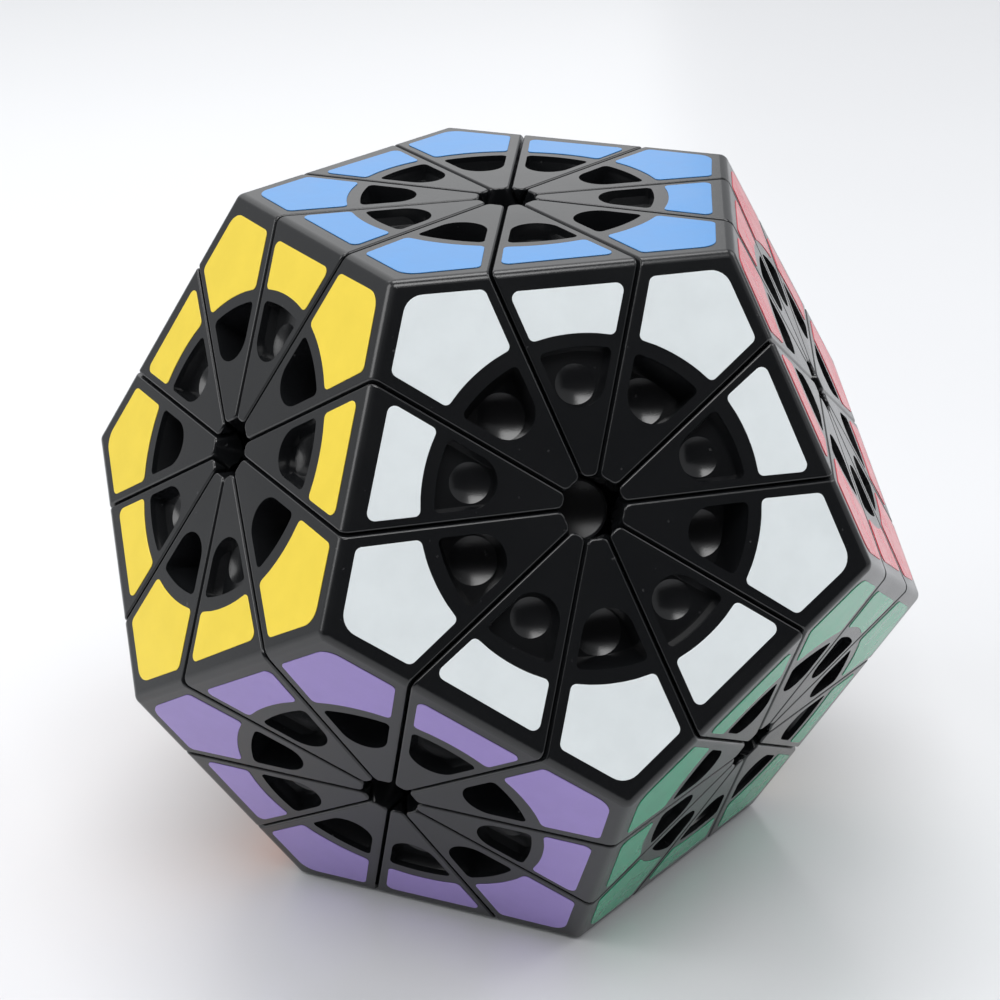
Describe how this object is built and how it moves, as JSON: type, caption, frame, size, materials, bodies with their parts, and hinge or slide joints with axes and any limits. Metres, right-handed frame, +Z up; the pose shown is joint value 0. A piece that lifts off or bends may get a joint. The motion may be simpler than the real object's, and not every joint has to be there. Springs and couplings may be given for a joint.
{
  "type": "dodecahedron twisty puzzle",
  "caption": "Twelve-faced dodecahedral twisty puzzle whose faces turn about their centres, with cuts meeting at every face centre and a D-shaped window in every wedge.",
  "frame": {"origin": "centre of the face the puzzle rests on", "axes": "+Z up along the turning axis of the top face; -Y towards the upper-ring face that looks at the viewer; +X to the viewer's right"},
  "size_m": [0.0842, 0.0886, 0.072],
  "materials": {
    "black_plastic": "satin",
    "inner_black_plastic": "gloss",
    "screw_steel": "plated",
    "spring_steel": "bright",
    "vinyl_blue": "matte vinyl",
    "vinyl_white": "matte vinyl",
    "vinyl_red": "matte vinyl",
    "vinyl_pink": "matte vinyl",
    "vinyl_lime": "matte vinyl",
    "vinyl_yellow": "matte vinyl",
    "vinyl_green": "matte vinyl",
    "vinyl_cream": "matte vinyl",
    "vinyl_grey": "matte vinyl",
    "vinyl_orange": "matte vinyl",
    "vinyl_purple": "matte vinyl",
    "vinyl_sky": "matte vinyl"
  },
  "bodies": {
    "middle_section": {"axis_screws": "screw_steel", "core": "inner_black_plastic", "corner_lime_grey_orange": "black_plastic", "corner_lime_yellow_orange": "black_plastic", "corner_pink_cream_grey": "black_plastic", "corner_pink_lime_grey": "black_plastic", "corner_red_green_cream": "black_plastic", "corner_red_pink_cream": "black_plastic", "corner_white_green_purple": "black_plastic", "corner_white_red_green": "black_plastic", "corner_white_yellow_purple": "black_plastic", "corner_yellow_orange_purple": "black_plastic", "edge_lime_grey": "black_plastic", "edge_lime_orange": "black_plastic", "edge_pink_cream": "black_plastic", "edge_pink_grey": "black_plastic", "edge_red_cream": "black_plastic", "edge_red_green": "black_plastic", "edge_white_green": "black_plastic", "edge_white_purple": "black_plastic", "edge_yellow_orange": "black_plastic", "edge_yellow_purple": "black_plastic", "middle_centres_and_caps": "inner_black_plastic", "middle_inner_edges": "inner_black_plastic", "screw_washers": "screw_steel", "tension_springs": "spring_steel"},
    "top_layer": {"corner_blue_lime_yellow": "black_plastic", "corner_blue_pink_lime": "black_plastic", "corner_blue_red_pink": "black_plastic", "corner_blue_white_red": "black_plastic", "corner_blue_white_yellow": "black_plastic", "edge_blue_lime": "black_plastic", "edge_blue_pink": "black_plastic", "edge_blue_red": "black_plastic", "edge_blue_white": "black_plastic", "edge_blue_yellow": "black_plastic", "edge_lime_yellow": "black_plastic", "edge_pink_lime": "black_plastic", "edge_red_pink": "black_plastic", "edge_white_red": "black_plastic", "edge_white_yellow": "black_plastic", "top_centres_and_caps": "inner_black_plastic", "top_inner_edges": "inner_black_plastic"},
    "bottom_layer": {"bottom_centres_and_caps": "inner_black_plastic", "bottom_inner_edges": "inner_black_plastic", "corner_cream_grey_sky": "black_plastic", "corner_green_cream_sky": "black_plastic", "corner_green_purple_sky": "black_plastic", "corner_grey_orange_sky": "black_plastic", "corner_orange_purple_sky": "black_plastic", "edge_cream_grey": "black_plastic", "edge_cream_sky": "black_plastic", "edge_green_cream": "black_plastic", "edge_green_purple": "black_plastic", "edge_green_sky": "black_plastic", "edge_grey_orange": "black_plastic", "edge_grey_sky": "black_plastic", "edge_orange_purple": "black_plastic", "edge_orange_sky": "black_plastic", "edge_purple_sky": "black_plastic"}
  },
  "joints": [
    {"name": "top_layer_turn", "type": "hinge", "parent": "middle_section", "child": "top_layer", "pos_m": [0, 0, 0.06], "axis": [0, 0, 1], "continuous": true},
    {"name": "bottom_layer_turn", "type": "hinge", "parent": "middle_section", "child": "bottom_layer", "pos_m": [0, 0, 0.012], "axis": [0, 0, -1], "continuous": true}
  ]
}
